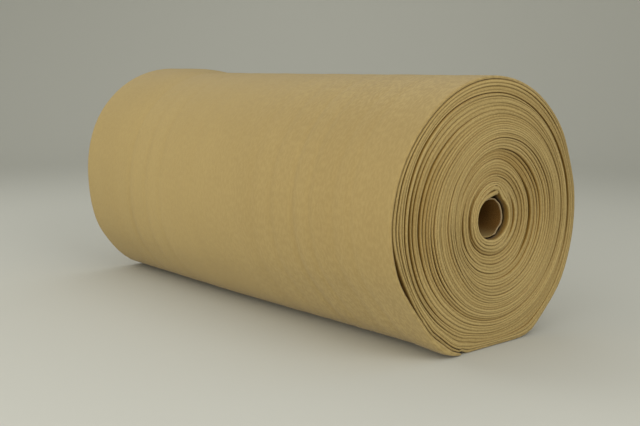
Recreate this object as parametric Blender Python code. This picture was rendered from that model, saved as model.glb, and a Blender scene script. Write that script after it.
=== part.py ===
"""Roll of rib knit fabric, lying on its side.

A tube of fine rib, pressed flat, is wound about forty times on a thin card core. The roll has sagged
onto a flat spot, its turns lie off centre and in bands, and the free end of the cloth comes away on
the front side and runs down to the surface.

Units are metres, +Z is up. The roll's axis runs along X, its open near end faces +X, and the free end
lies on the -Y side. The origin is on the surface, under the middle of the roll's bounding box.
Angles are in degrees around the axis, 0 towards +Y and 90 straight up.
"""
from collections import namedtuple
from math import cos, floor, radians, sin

import bmesh
import bpy
from mathutils import Vector

# Driving dimensions
MM = 0.001
ROLL_LENGTH = 0.500
AXIS_HEIGHT = 0.111
FOLD = 1.2 * MM
FIT = 0.6 * MM

# Card core
CORE_BORE = 32 * MM
CORE_WALL = 2 * MM
CORE_LENGTH = 0.495
CORE_SIDES = 48

# Free end: a doubled sheet that leaves the roll at one angle and reaches the surface at another
SHEET = 2.8 * MM
PARTING = 166.5
TIP = 252.0
PARTING_SLOPE = 0.3
PARTING_ROOM = 1.2
TIP_ROUND = 0.8 * MM
OVERHANG = 4.0 * MM
OVERHANG_START = 205.0
GAP_OPEN = 1.2 * MM
GAP_MIDDLE = 190.0
GAP_SPREAD = 24.0

# Far end: the upper side swells where the turns have slipped outwards
SWELL = 4.2 * MM
SWELL_START = -0.140
SWELL_FULL = -0.187
SWELL_FACING = 95.0

STEP = 4.5
STATIONS = (0.200, 0.150, 0.100, 0.050, 0.000, -0.050, -0.095,
            SWELL_START, -0.152, -0.164, -0.176, SWELL_FULL)

# Closed curves around the axis, as radii in millimetres every 45 degrees. A ring is a turn that stands
# apart on the end faces: how far it stands proud of the outer turn at the near end, and the depth of
# the crease beside it
DIRECTIONS = ("below", "lower_right", "right", "upper_right", "above", "upper_left", "left", "lower_left")
Ring = namedtuple("Ring", ("name",) + DIRECTIONS + ("proud", "crease"))
NEAR_OUTLINE = Ring("near outline", 124.0, 122.0, 117.4, 117.8, 118.4, 117.2, 118.4, 115.2, 0.0, 0.0)
FAR_OUTLINE = Ring("far outline", 124.0, 122.0, 117.2, 117.4, 117.6, 117.8, 114.4, 121.4, 0.0, 0.0)
RINGS = (
    Ring("outer turns", 103.7, 108.3, 106.8, 103.4, 103.9, 104.5, 102.6, 100.6, 0.5, 3.0),
    Ring("sunken band", 87.5, 94.8, 97.1, 91.5, 85.6, 80.3, 79.0, 81.1, -1.5, 1.5),
    Ring("wide band", 68.8, 76.0, 79.2, 73.7, 65.6, 56.7, 54.2, 56.7, 0.5, 2.0),
    Ring("open turn", 50.3, 51.1, 51.6, 49.3, 50.9, 45.0, 41.0, 43.3, -1.0, 3.5),
    Ring("soft turns", 32.3, 33.9, 35.5, 34.4, 35.5, 29.3, 27.3, 29.0, -0.5, 2.0),
    Ring("first turns", 24.0, 23.4, 23.8, 23.6, 24.6, 22.8, 22.4, 22.8, 2.0, 1.2),
)
BORE = Ring("bore", 18.7, 18.7, 18.7, 18.9, 20.6, 19.0, 18.7, 18.7, 2.0, 0.0)
CREASE_HALF = 0.9 * MM
LAST_TURN = 3.4 * MM
LAST_CREASE = 2.0 * MM

# Flattened sides, each a plane at a distance from the axis, at the near end and at the far end. The
# flat spot that the roll lies on comes from the axis height
Flat = namedtuple("Flat", "name facing near far")
FLATS = (
    Flat("dented corner", -46.0, 120.8 * MM, 120.8 * MM),
    Flat("pressed side", 22.0, 115.2 * MM, 116.6 * MM),
    Flat("free end", 217.0, 112.7 * MM, 120.6 * MM),
)
FLAT_REACH = 0.3
FLAT_BLEND = 3.0 * MM
NEAR_SHAPE_ENDS = -0.100

# Finishes
Finish = namedtuple("Finish", "name colour roughness")
RIB_KNIT = Finish("rib_knit", (0.46, 0.34, 0.16, 1.0), 0.95)
CARD = Finish("card", (0.25, 0.15, 0.07, 1.0), 0.9)
SHARP_EDGE = 35.0


def clear_scene():
    """Remove every object of the scene."""
    for item in list(bpy.data.objects):
        bpy.data.objects.remove(item, do_unlink=True)


def material(finish):
    """Return a Principled material of the finish's colour and roughness."""
    made = bpy.data.materials.new(finish.name)
    made.use_nodes = True
    shader = made.node_tree.nodes["Principled BSDF"]
    shader.inputs["Base Color"].default_value = finish.colour
    shader.inputs["Roughness"].default_value = finish.roughness
    shader.inputs["Metallic"].default_value = 0.0
    return made


def smoothstep(value):
    """Return 0 below 0, 1 above 1 and a smooth rise between."""
    value = min(max(value, 0.0), 1.0)
    return value * value * (3.0 - 2.0 * value)


def soft_lower(first, second):
    """Return the lower of two radii, rounded off where they meet."""
    share = max(FLAT_BLEND - abs(first - second), 0.0) / FLAT_BLEND
    return min(first, second) - share * share * FLAT_BLEND / 4.0


def ring_radius(ring, angle):
    """Return a ring's radius at an angle, on a smooth closed curve through its eight radii."""
    radii = [getattr(ring, name) * MM for name in DIRECTIONS]
    place = (angle + 90.0) / 45.0
    first = floor(place)
    part = place - first
    before, start, end, after = (radii[(first + shift) % 8] for shift in (-1, 0, 1, 2))
    slope_in = (end - before) / 2.0
    slope_out = (after - start) / 2.0
    rise = end - start
    return (start + part * slope_in + part ** 2 * (3.0 * rise - 2.0 * slope_in - slope_out)
            + part ** 3 * (slope_in + slope_out - 2.0 * rise))


def outline_radius(angle, x):
    """Return the radius of the whole roll, with its free end, at an angle and a place along the axis."""
    half = ROLL_LENGTH / 2.0
    far = smoothstep((half - x) / (half - NEAR_SHAPE_ENDS))
    radius = (1.0 - far) * ring_radius(NEAR_OUTLINE, angle) + far * ring_radius(FAR_OUTLINE, angle)
    for flat in FLATS:
        towards = cos(radians(angle - flat.facing))
        if towards > FLAT_REACH:
            radius = soft_lower(radius, (flat.near + far * (flat.far - flat.near)) / towards)
    swollen = smoothstep((SWELL_START - x) / (SWELL_START - SWELL_FULL))
    radius += SWELL * swollen * max(0.0, cos(radians(angle - SWELL_FACING)))
    down = -sin(radians(angle))
    return min(radius, AXIS_HEIGHT / down) if down > FLAT_REACH else radius


def gap(angle):
    """Return the room between the free end and the roll, widest where the sheet first comes away."""
    away = (angle - GAP_MIDDLE) / GAP_SPREAD
    return FIT + GAP_OPEN * smoothstep(1.0 - abs(away))


def wound_radius(angle, x, covered):
    """Return the radius of the wound turns, lower by the sheet where the free end covers them."""
    return outline_radius(angle, x) - (SHEET + gap(angle) if covered else 0.0)


def around(x, angle, radius):
    """Return the point at an angle and radius about the roll's axis."""
    turn = radians(angle)
    return Vector((x, radius * cos(turn), AXIS_HEIGHT + radius * sin(turn)))


def add_object(name, mesh_data, finish):
    """Turn a bmesh into a smooth shaded object with its own material."""
    bmesh.ops.recalc_face_normals(mesh_data, faces=mesh_data.faces)
    mesh = bpy.data.meshes.new(name)
    mesh_data.to_mesh(mesh)
    mesh_data.free()
    mesh.shade_smooth()
    mesh.set_sharp_from_angle(angle=radians(SHARP_EDGE))
    made = bpy.data.objects.new(name, mesh)
    mesh.materials.append(material(finish))
    bpy.context.scene.collection.objects.link(made)
    return made


def skin(loops, closed):
    """Join loops of points one after another with quads.

    Closed joins the last loop to the first one. Open loops are capped by joining each end loop's first
    half to its second half, which suits a thin section.
    """
    mesh = bmesh.new()
    rows = [[mesh.verts.new(point) for point in loop] for loop in loops]
    count = len(rows[0])
    pairs = list(zip(rows, rows[1:]))
    if closed:
        pairs.append((rows[-1], rows[0]))
    for near, far in pairs:
        for index in range(count):
            after = (index + 1) % count
            mesh.faces.new((near[index], near[after], far[after], far[index]))
    if not closed:
        for row in (rows[0], rows[-1]):
            for index in range(count // 2 - 1):
                mesh.faces.new((row[index], row[index + 1], row[-2 - index], row[-1 - index]))
    return mesh


def wound_angles():
    """Return the angles around the roll from under the tip back to it, each with its covered state."""
    start = TIP - 360.0
    places = []
    for index in range(round(360.0 / STEP)):
        angle = start + STEP * index
        if abs(angle - PARTING) < STEP / 2.0:
            places += [(angle - PARTING_SLOPE, False), (angle + PARTING_SLOPE, True)]
        else:
            places.append((angle, index == 0 or angle > PARTING))
    return places


def end_loops(places, end):
    """Return the loops of one end face from the outline to the bore.

    End is 1 at the near end and -1 at the far end, where a turn that is proud at the near end is sunk.
    """
    face = end * ROLL_LENGTH / 2.0

    def outline_loop(inset, depth):
        return [around(face - end * depth, angle, wound_radius(angle, face, covered) - inset)
                for angle, covered in places]

    def ring_loop(ring, shift, depth):
        level = face + ring.proud * MM - end * depth
        return [around(level, angle, ring_radius(ring, angle) + shift) for angle, _ in places]

    loops = [outline_loop(FOLD, 0.0)]
    loops += [outline_loop(LAST_TURN - CREASE_HALF, 0.0), outline_loop(LAST_TURN, LAST_CREASE),
              outline_loop(LAST_TURN + CREASE_HALF, 0.0)]
    for ring in RINGS:
        loops += [ring_loop(ring, CREASE_HALF, 0.0), ring_loop(ring, 0.0, ring.crease * MM),
                  ring_loop(ring, -CREASE_HALF, 0.0)]
    loops.append(ring_loop(BORE, 0.0, 0.0))
    return loops


def make_wound_cloth():
    """Build the wound turns as one solid around the core's bore."""
    places = wound_angles()
    near = ROLL_LENGTH / 2.0 - FOLD
    sides = [[around(x, angle, wound_radius(angle, x, covered)) for angle, covered in places]
             for x in (near,) + STATIONS + (-near,)]
    loops = sides + end_loops(places, -1) + end_loops(places, 1)[::-1]
    return add_object("wound_cloth", skin(loops, closed=True), RIB_KNIT)


def free_end_section(x, inset):
    """Return the free end's section: down its outer side, round the tip, and up its inner side."""
    steps = round((TIP - PARTING) / STEP)
    outer = []
    inner = []
    for index in range(steps + 1):
        angle = PARTING + STEP * index if index else PARTING + PARTING_ROOM
        edge = inset + (TIP_ROUND if index == steps else 0.0)
        place = x + OVERHANG * smoothstep((angle - OVERHANG_START) / (TIP - OVERHANG_START))
        radius = outline_radius(angle, x)
        outer.append(around(place, angle, radius - edge))
        inner.append(around(place, angle, radius - SHEET + edge))
    return outer + inner[::-1]


def make_loose_end():
    """Build the cloth's free end as a sheet of doubled rib, thinner where its edges are folded."""
    end = ROLL_LENGTH / 2.0
    near = end - FOLD
    sections = [free_end_section(end, FOLD)]
    sections += [free_end_section(x, 0.0) for x in (near,) + STATIONS + (-near,)]
    sections.append(free_end_section(-end, FOLD))
    return add_object("loose_end", skin(sections, closed=False), RIB_KNIT)


def make_core_tube():
    """Build the card core as a tube with a wall, a little shorter than the cloth is wide."""
    half = CORE_LENGTH / 2.0
    inner = CORE_BORE / 2.0
    outer = inner + CORE_WALL
    section = ((half, inner), (half, outer), (-half, outer), (-half, inner))
    turns = [360.0 * index / CORE_SIDES for index in range(CORE_SIDES)]
    loops = [[around(x, angle, radius) for angle in turns] for x, radius in section]
    return add_object("core_tube", skin(loops, closed=True), CARD)


def centre(pieces):
    """Move the pieces so that the middle of their footprint is at the origin."""
    corners = [vertex.co for piece in pieces for vertex in piece.data.vertices]
    middle = [(min(corner[axis] for corner in corners) + max(corner[axis] for corner in corners)) / 2.0
              for axis in (0, 1)]
    for piece in pieces:
        piece.location = (-middle[0], -middle[1], 0.0)


def main():
    """Build the roll."""
    clear_scene()
    centre([make_wound_cloth(), make_loose_end(), make_core_tube()])


main()
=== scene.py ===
"""Roll of rib knit fabric on its side, dressed for a studio picture.

A tube of fine rib knit, pressed flat, is wound about forty times on a thin card core. The outer turn and
its free end are one doubled sheet with the ribs in its mesh. The inner turns show only as folded edges
at the two ends of the roll, so each end has them as one long folded strip that spirals in to the core.

Units are metres, +Z is up and the roll's axis runs along X. Angles are in degrees round the axis, 0
towards +Y and 90 straight up, and they grow as the cloth winds outwards. Turns are counted from the
outer surface inwards, starting at the free end's tip.
"""
import logging
from dataclasses import dataclass, replace
from enum import Enum
from typing import Any, Callable

import bmesh
import bpy
import numpy as np
from mathutils import Euler, Matrix, Vector

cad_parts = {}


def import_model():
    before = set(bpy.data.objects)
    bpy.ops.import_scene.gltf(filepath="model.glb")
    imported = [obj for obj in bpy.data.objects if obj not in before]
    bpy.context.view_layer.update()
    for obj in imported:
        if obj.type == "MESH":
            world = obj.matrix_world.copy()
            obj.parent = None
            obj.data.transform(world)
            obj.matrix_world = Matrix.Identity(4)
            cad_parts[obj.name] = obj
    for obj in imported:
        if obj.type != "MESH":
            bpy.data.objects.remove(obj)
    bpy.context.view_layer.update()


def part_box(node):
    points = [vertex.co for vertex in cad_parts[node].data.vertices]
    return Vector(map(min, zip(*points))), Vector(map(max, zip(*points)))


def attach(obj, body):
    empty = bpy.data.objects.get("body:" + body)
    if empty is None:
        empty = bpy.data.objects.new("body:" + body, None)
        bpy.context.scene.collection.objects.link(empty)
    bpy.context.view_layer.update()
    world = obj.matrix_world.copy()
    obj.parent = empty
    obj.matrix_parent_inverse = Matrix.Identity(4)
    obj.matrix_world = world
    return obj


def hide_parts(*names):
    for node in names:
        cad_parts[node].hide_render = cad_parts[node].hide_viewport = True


Array = np.ndarray
MM = 0.001
FULL_TURN = 360.0
WELD = 1e-7
LOG = logging.getLogger("roll")


class End(Enum):
    """An end of the roll, as the direction along X in which it faces."""

    NEAR = 1.0
    FAR = -1.0


class Slot(Enum):
    """The record's material slots."""

    RIB_KNIT = "rib_knit"
    CARD = "card"


def smoothstep(value: Array) -> Array:
    """Ease between two states.

    Args:
        value: Progress, where 0 is the first state and 1 the second.

    Returns:
        0 below 0, 1 above 1 and a smooth rise between.
    """
    value = np.clip(value, 0.0, 1.0)
    return value * value * (3.0 - 2.0 * value)


def soft_lower(first: Array, second: Array, blend: float) -> Array:
    """Take the lower of two radii, rounded off where they meet.

    Args:
        first: Radii in metres.
        second: Radii in metres.
        blend: How near the two are when the rounding starts, in metres.

    Returns:
        The blended radii.
    """
    share = np.maximum(blend - np.abs(first - second), 0.0) / blend
    return np.minimum(first, second) - share * share * blend / 4.0


def away_from(angle: Array, middle: float) -> Array:
    """Return the signed angle from a middle, between -180 and 180 degrees."""
    return (angle - middle + FULL_TURN / 2.0) % FULL_TURN - FULL_TURN / 2.0


def hump(angle: Array, middle: float, half_width: float) -> Array:
    """Return 1 at the middle angle and a smooth fall to 0 at half_width on either side."""
    return smoothstep(1.0 - np.abs(away_from(angle, middle)) / half_width)


@dataclass(frozen=True)
class Drift:
    """A smooth, uneven wander made of a few sine waves, the same on every run."""

    waves: tuple[tuple[float, float, float], ...]

    def at(self, place: Array) -> Array:
        """Read the wander.

        Args:
            place: Where to read it, in the waves' own unit of length.

        Returns:
            The sum of the waves, each one its height times a sine of its cycles and its start.
        """
        return sum(height * np.sin(2.0 * np.pi * (cycles * place + start))
                   for height, cycles, start in self.waves)


@dataclass(frozen=True)
class Axis:
    """The roll's axis: the middle of its length, and where it lies across and above the surface."""

    middle: float
    across: float
    height: float

    @classmethod
    def of_core(cls) -> "Axis":
        """Return the axis of the frame's card core."""
        low, high = (Vector(corner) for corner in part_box("core_tube"))
        return cls(*((low + high) / 2.0))

    def points(self, x: Array, angle: Array, radius: Array) -> Array:
        """Turn cylinder measures into points.

        Args:
            x: Distance from the roll's middle along its axis.
            angle: Angle round the axis, in degrees.
            radius: Distance from the axis.

        Returns:
            Points in the last dimension, in the shape that the three measures share.
        """
        turn = np.radians(angle)
        sides = (self.middle + x, self.across + radius * np.cos(turn), self.height + radius * np.sin(turn))
        return np.stack(np.broadcast_arrays(*sides), axis=-1)


@dataclass(frozen=True)
class Ring:
    """A turn that is known all the way round, as radii in millimetres every 45 degrees from below."""

    name: str
    turn: float
    proud: float
    below: float
    lower_right: float
    right: float
    upper_right: float
    above: float
    upper_left: float
    left: float
    lower_left: float

    def radius(self, angle: Array) -> Array:
        """Return the radii at angles, on a smooth closed curve through the eight that are known."""
        radii = MM * np.array((self.below, self.lower_right, self.right, self.upper_right,
                               self.above, self.upper_left, self.left, self.lower_left))
        place = (angle + FULL_TURN / 4.0) / (FULL_TURN / len(radii))
        first = np.floor(place).astype(int)
        part = place - first
        before, start, end, after = (radii[(first + shift) % len(radii)] for shift in (-1, 0, 1, 2))
        slope_in = (end - before) / 2.0
        slope_out = (after - start) / 2.0
        rise = end - start
        return (start + part * slope_in + part ** 2 * (3.0 * rise - 2.0 * slope_in - slope_out)
                + part ** 3 * (slope_in + slope_out - 2.0 * rise))


@dataclass(frozen=True)
class Flat:
    """A side that is pressed flat: its facing, and its distance from the axis at either end in mm."""

    facing: float
    near: float
    far: float


@dataclass(frozen=True)
class Trough:
    """A shallow hollow round the cloth: its place along the roll in mm, width, depth and drift in mm."""

    place: float
    half_width: float
    depth: float
    lean: float


@dataclass(frozen=True)
class RollShape:
    """The outline of the whole roll, sagged on its flat spot and swollen at the top of its far end."""

    length: float = 500.0 * MM
    axis_height: float = 111.0 * MM
    near_outline: Ring = Ring("near outline", 0.0, 0.0, 124.0, 122.0, 117.4, 117.8, 118.4, 117.2, 118.4, 115.2)
    far_outline: Ring = Ring("far outline", 0.0, 0.0, 124.0, 122.0, 117.2, 117.4, 117.6, 117.8, 114.4, 121.4)
    near_shape_ends: float = -100.0 * MM
    flats: tuple[Flat, ...] = (Flat(-46.0, 120.8, 120.8), Flat(22.0, 116.0, 116.6), Flat(217.0, 112.7, 120.6))
    flat_reach: float = 0.3
    flat_blend: float = 3.0 * MM
    floor_blend: float = 8.0 * MM
    bulge: float = 2.0 * MM
    bulge_middle: float = 242.0
    bulge_half: float = 17.0
    bulge_run: float = 50.0 * MM
    swell: float = 4.2 * MM
    swell_start: float = -140.0 * MM
    swell_full: float = -187.0 * MM
    swell_facing: float = 95.0
    troughs: tuple[Trough, ...] = (
        Trough(132.0, 4.5, 1.00, -9.0), Trough(155.0, 4.0, 0.70, -9.0), Trough(100.0, 5.0, 0.65, -7.0),
        Trough(184.0, 5.0, 0.60, -6.0), Trough(206.0, 4.0, 0.55, -8.0), Trough(70.0, 6.0, 0.45, -5.0),
        Trough(-26.0, 9.0, 0.40, -8.0), Trough(-94.0, 5.0, 0.50, 2.0), Trough(-122.0, 4.5, 0.50, 3.0),
        Trough(-155.0, 4.5, 0.65, 4.0),
    )
    slack_facing: float = 188.0
    slack_reach: float = 115.0
    slack_least: float = 0.25
    lean_from: float = 20.0
    along: Drift = Drift(((0.10, 11.0, 0.1), (0.07, 23.0, 0.4), (0.05, 41.0, 0.7)))
    round_it: Drift = Drift(((0.10, 3.0, 0.2), (0.06, 7.0, 0.6), (0.04, 13.0, 0.3)))

    def radius(self, angle: Array, x: Array) -> Array:
        """Return the outline's radius at angles and places along the roll's axis."""
        half = self.length / 2.0
        far = smoothstep((half - x) / (half - self.near_shape_ends))
        radius = (1.0 - far) * self.near_outline.radius(angle) + far * self.far_outline.radius(angle)
        for flat in self.flats:
            towards = np.cos(np.radians(angle - flat.facing))
            plane = MM * (flat.near + far * (flat.far - flat.near)) / np.maximum(towards, self.flat_reach)
            pressed = soft_lower(radius, plane, self.flat_blend)
            radius = np.where(towards > self.flat_reach, pressed, radius)
        swollen = smoothstep((self.swell_start - x) / (self.swell_start - self.swell_full))
        radius = radius + self.swell * swollen * np.maximum(0.0, np.cos(np.radians(angle - self.swell_facing)))
        edge = smoothstep((x - half) / self.bulge_run + 1.0)
        radius = radius + self.bulge * hump(angle, self.bulge_middle, self.bulge_half) * edge
        radius = radius - self.unevenness(angle, x)
        down = -np.sin(np.radians(angle))
        floor = self.axis_height / np.maximum(down, self.flat_reach)
        return np.where(down > self.flat_reach, soft_lower(radius, floor, self.floor_blend), radius)

    def hollow(self, angle: Array, x: Array) -> Array:
        """Return the troughs' depth at angles and places along the axis, in millimetres."""
        slack = self.slack_least + (1.0 - self.slack_least) * hump(angle, self.slack_facing, self.slack_reach)
        leaning = np.sin(np.radians(angle - self.lean_from))
        return slack * sum(trough.depth * np.exp(-((x / MM - trough.place - trough.lean * leaning)
                                                   / trough.half_width) ** 2) for trough in self.troughs)

    def unevenness(self, angle: Array, x: Array) -> Array:
        """Return how far the troughs and the slack of the cloth take the surface in."""
        return MM * (self.along.at(x) + self.round_it.at(angle / FULL_TURN) + self.hollow(angle, x))


@dataclass(frozen=True)
class Crease:
    """A place where two turns part: which turn it lies outside, where round the roll, and its room in mm."""

    turn: float
    middle: float
    half_width: float
    room: float


@dataclass(frozen=True)
class Sink:
    """A band of turns whose edges stand back: its middle turn and half-width in turns, place and depth in mm."""

    turn: float
    turns: float
    middle: float
    half_width: float
    depth: float


@dataclass(frozen=True)
class Press:
    """A band of turns whose folds are pressed flat: its middle turn and half-width in turns, place and share."""

    turn: float
    turns: float
    middle: float
    half_width: float
    share: float


@dataclass(frozen=True)
class Climb:
    """Where a turn climbs over the one inside it: the turn, and the shares of it where that starts and ends."""

    turn: float
    start: float
    end: float


@dataclass(frozen=True)
class Winding:
    """How the turns lie inside the outline, from the free end's tip in to the end on the core."""

    shape: RollShape = RollShape()
    tip: float = 252.0
    inner_end: float = 78.0
    sheet: float = 2.8 * MM
    rings: tuple[Ring, ...] = (
        Ring("outer turns", 5.0, 0.5, 101.6, 108.8, 107.2, 104.2, 104.3, 104.8, 102.2, 100.4),
        Ring("first pair", 7.0, 0.4, 98.3, 104.3, 102.8, 101.0, 99.2, 98.6, 97.4, 96.4),
        Ring("sunken band", 12.0, 0.0, 87.5, 94.8, 96.8, 92.0, 86.4, 79.8, 78.2, 80.4),
        Ring("wide band", 22.0, 0.5, 68.3, 77.2, 80.8, 74.7, 66.0, 55.4, 51.6, 54.0),
        Ring("open turn", 30.0, 0.0, 47.0, 51.4, 52.8, 50.8, 49.3, 42.9, 39.9, 42.6),
        Ring("soft turns", 36.0, -0.4, 31.2, 34.6, 36.8, 35.7, 34.0, 28.9, 26.8, 29.4),
        Ring("first turns", 39.0, 1.9, 22.8, 24.0, 25.2, 25.6, 27.2, 24.4, 23.0, 22.8),
        Ring("bore", 41.0, 2.0, 17.8, 18.9, 20.0, 19.9, 18.6, 19.9, 19.7, 18.7),
    )
    climbs: tuple[Climb, ...] = (
        Climb(0, 0.984, 1.0), Climb(1, 0.983, 1.0), Climb(2, 0.98, 1.0), Climb(3, 0.97, 1.0), Climb(4, 0.93, 1.0),
        Climb(5, 0.8, 1.0), Climb(6, 0.65, 1.0), Climb(8, 0.35, 0.85), Climb(12, 0.05, 0.45),
        Climb(30, 0.05, 0.45), Climb(36, 0.3, 0.6), Climb(39, 0.483, 0.56), Climb(40, 1.5, 2.0),
    )
    creases: tuple[Crease, ...] = (
        Crease(1, 0.0, 75.0, 1.4), Crease(1, 110.0, 80.0, 1.2), Crease(1, 225.0, 40.0, 0.7),
        Crease(2, 58.0, 40.0, 1.6), Crease(2, 160.0, 35.0, 1.0), Crease(2, 235.0, 30.0, 0.9),
        Crease(3, 100.0, 40.0, 0.9), Crease(3, 188.0, 50.0, 1.4), Crease(5, 45.0, 95.0, 3.0),
        Crease(5, 145.0, 65.0, 2.4), Crease(5, 215.0, 50.0, 1.6), Crease(6, 82.0, 42.0, 1.2),
        Crease(7, 182.0, 75.0, 2.6), Crease(7, 270.0, 35.0, 1.0), Crease(8, 175.0, 45.0, 1.4),
        Crease(10, 75.0, 45.0, 1.3), Crease(10, 168.0, 75.0, 1.5), Crease(10, 262.0, 35.0, 0.8),
        Crease(11, 58.0, 35.0, 1.1), Crease(11, 158.0, 55.0, 2.1), Crease(12, 5.0, 60.0, 1.2),
        Crease(12, 195.0, 105.0, 1.5), Crease(14, 200.0, 65.0, 1.7), Crease(15, 178.0, 90.0, 1.5),
        Crease(15, 275.0, 40.0, 0.8), Crease(17, 162.0, 75.0, 1.3), Crease(18, 160.0, 70.0, 0.8),
        Crease(19, 8.0, 60.0, 1.3), Crease(20, 270.0, 40.0, 0.7), Crease(22, 38.0, 95.0, 1.8),
        Crease(22, 205.0, 90.0, 1.3), Crease(23, 278.0, 45.0, 1.0), Crease(24, 22.0, 70.0, 1.4),
        Crease(26, 35.0, 85.0, 1.4), Crease(26, 272.0, 35.0, 0.9), Crease(26, 200.0, 40.0, 0.7),
        Crease(27, 25.0, 80.0, 0.9), Crease(28, 232.0, 35.0, 0.8), Crease(30, 0.0, 110.0, 2.8), Crease(31, 0.0, 65.0, 1.6),
        Crease(30, 190.0, 85.0, 2.2), Crease(30, 262.0, 40.0, 1.0), Crease(32, 198.0, 65.0, 1.1),
        Crease(33, 45.0, 100.0, 0.6), Crease(33, 270.0, 40.0, 0.8), Crease(36, 70.0, 60.0, 1.1), Crease(36, 0.0, 60.0, 0.6), Crease(35, 80.0, 40.0, 1.0),
        Crease(36, 188.0, 95.0, 2.8), Crease(36, 270.0, 60.0, 1.2), 
        Crease(39, 262.0, 45.0, 1.2), Crease(40, 5.0, 95.0, 1.2),
        Crease(40, 96.0, 14.0, 2.0), Crease(39, 70.0, 13.0, 2.2),
    )
    sinks: tuple[Sink, ...] = (
        Sink(10.0, 3.6, 172.0, 75.0, 1.9), Sink(25.5, 5.0, 10.0, 75.0, 1.3), Sink(28.5, 2.6, 60.0, 48.0, 2.4),
        Sink(26.0, 4.0, 120.0, 50.0, 1.0), Sink(30.5, 1.6, 178.0, 60.0, 0.9), Sink(5.3, 0.8, 20.0, 80.0, 1.2), Sink(35.8, 0.9, 182.0, 85.0, 2.2),
        Sink(35.0, 2.6, 5.0, 80.0, 0.8), Sink(38.5, 0.9, 0.0, 85.0, 3.2),
        Sink(37.0, 0.4, 0.0, 80.0, -1.0), Sink(40.0, 0.4, 0.0, 90.0, -0.8), Sink(30.0, 0.45, 0.0, 65.0, 2.2),
    )
    presses: tuple[Press, ...] = (
        Press(38.3, 1.6, 180.0, 110.0, 0.75), Press(38.5, 0.9, 0.0, 85.0, 0.95), Press(15.0, 3.5, 60.0, 90.0, 0.45),
        Press(33.5, 1.8, 180.0, 70.0, 0.35), Press(18.0, 3.0, 300.0, 60.0, 0.4),
    )
    least_pressed: float = 0.30
    most_pressed: float = 0.75
    wide_open: float = 2.4
    crease_reach: float = 0.5
    pair_room: float = 0.4 * MM
    pressed_room: float = 0.2
    pairs: Drift = Drift(((0.35, 0.231, 0.1), (0.25, 0.617, 0.6)))
    lift: float = 1.8 * MM
    lift_from: float = 27.0
    lift_to: float = 6.0
    gap_always: float = 0.08 * MM
    gap_under_end: float = 0.6 * MM
    gap_open: float = 3.0 * MM
    gap_middle: float = 199.0
    gap_half: float = 21.0
    covered_middle: float = 203.0
    covered_half: float = 45.0
    covered_run: float = 12.0
    taper: float = 1.2 * MM
    taper_run: float = 17.0
    fold_room: float = 4.0 * MM
    fold_middle: float = 241.0
    fold_half: float = 13.0
    fold_run: float = 30.0 * MM
    apex_angle: float = 80.0
    apex_width: float = 13.0
    apex_height: float = 1.2 * MM
    apex_fade: float = 2.5

    @property
    def last(self) -> float:
        """Return the number of turns from the tip to the end on the core."""
        return self.rings[-1].turn - 1.0 + (self.tip - self.inner_end) / FULL_TURN

    def angle(self, turns: Array) -> Array:
        """Return the angle round the axis at a number of turns inside the tip."""
        return self.tip - FULL_TURN * turns

    def depth(self, turns: Array) -> Array:
        """Count the layers that lie outside the cloth.

        Args:
            turns: Turns inside the tip.

        Returns:
            The turns' whole number, and a smooth rise to the next where each turn drops off the one inside.
        """
        whole = np.floor(turns)
        known = [climb.turn for climb in self.climbs]
        start = np.interp(whole, known, [climb.start for climb in self.climbs])
        end = np.interp(whole, known, [climb.end for climb in self.climbs])
        return whole + smoothstep((turns - whole - start) / (end - start))

    def gap(self, angle: Array) -> Array:
        """Return the room under the outer turn, widest where the free end comes away."""
        away = np.abs(away_from(angle, self.covered_middle))
        covered = smoothstep((self.covered_half - away) / self.covered_run)
        room = self.gap_always + (self.gap_under_end - self.gap_always) * covered
        return room + self.gap_open * hump(angle, self.gap_middle, self.gap_half)

    def thickness(self, angle: Array, x: Array) -> Array:
        """Return the outer turn's thickness, less towards its tip and more at the free end's soft fold."""
        before_tip = (self.tip - angle) % FULL_TURN
        pressed = 1.0 - smoothstep(before_tip / self.taper_run)
        folded = hump(angle, self.fold_middle, self.fold_half)
        edge = smoothstep((np.abs(x) - self.shape.length / 2.0) / self.fold_run + 1.0)
        return self.sheet - self.taper * pressed + self.fold_room * folded * edge

    def radius(self, depth: Array, angle: Array, end: End) -> Array:
        """Find how far out a layer's outer side is.

        Args:
            depth: Layers that lie outside it, from 0.
            angle: Angles round the axis.
            end: The end of the roll that it is read at.

        Returns:
            Radii in metres.
        """
        x = np.full_like(angle, end.value * self.shape.length / 2.0)
        outline = self.shape.radius(angle, x)
        known = [0.0, 1.0] + [ring.turn for ring in self.rings]
        radii = np.stack([outline, outline - self.thickness(angle, x) - self.gap(angle)]
                         + [ring.radius(angle) for ring in self.rings])
        first = np.clip(np.searchsorted(known, depth, side="right") - 1, 0, len(known) - 2)
        low = np.take(known, first)
        share = (depth - low) / (np.take(known, first + 1) - low)
        column = np.arange(len(depth))
        radius = radii[first, column] * (1.0 - share) + radii[first + 1, column] * share
        away = away_from(angle, self.tip)
        over_tip = np.where(away < 0.0, smoothstep(1.0 + away / self.lift_from), 1.0 - smoothstep(away / self.lift_to))
        radius = radius + self.lift * over_tip * np.interp(depth, [1.0, 3.0, 5.0, 8.0], [0.0, 0.8, 0.8, 0.0])
        lifted = np.exp(-(away_from(angle, self.apex_angle) / self.apex_width) ** 2)
        inwards = np.clip(self.rings[-1].turn - 1.0 - depth, 0.0, None) / self.apex_fade
        on_end = depth < self.rings[-1].turn - 0.5
        return radius + self.apex_height * lifted * np.exp(-inwards ** 2) * on_end

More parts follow.
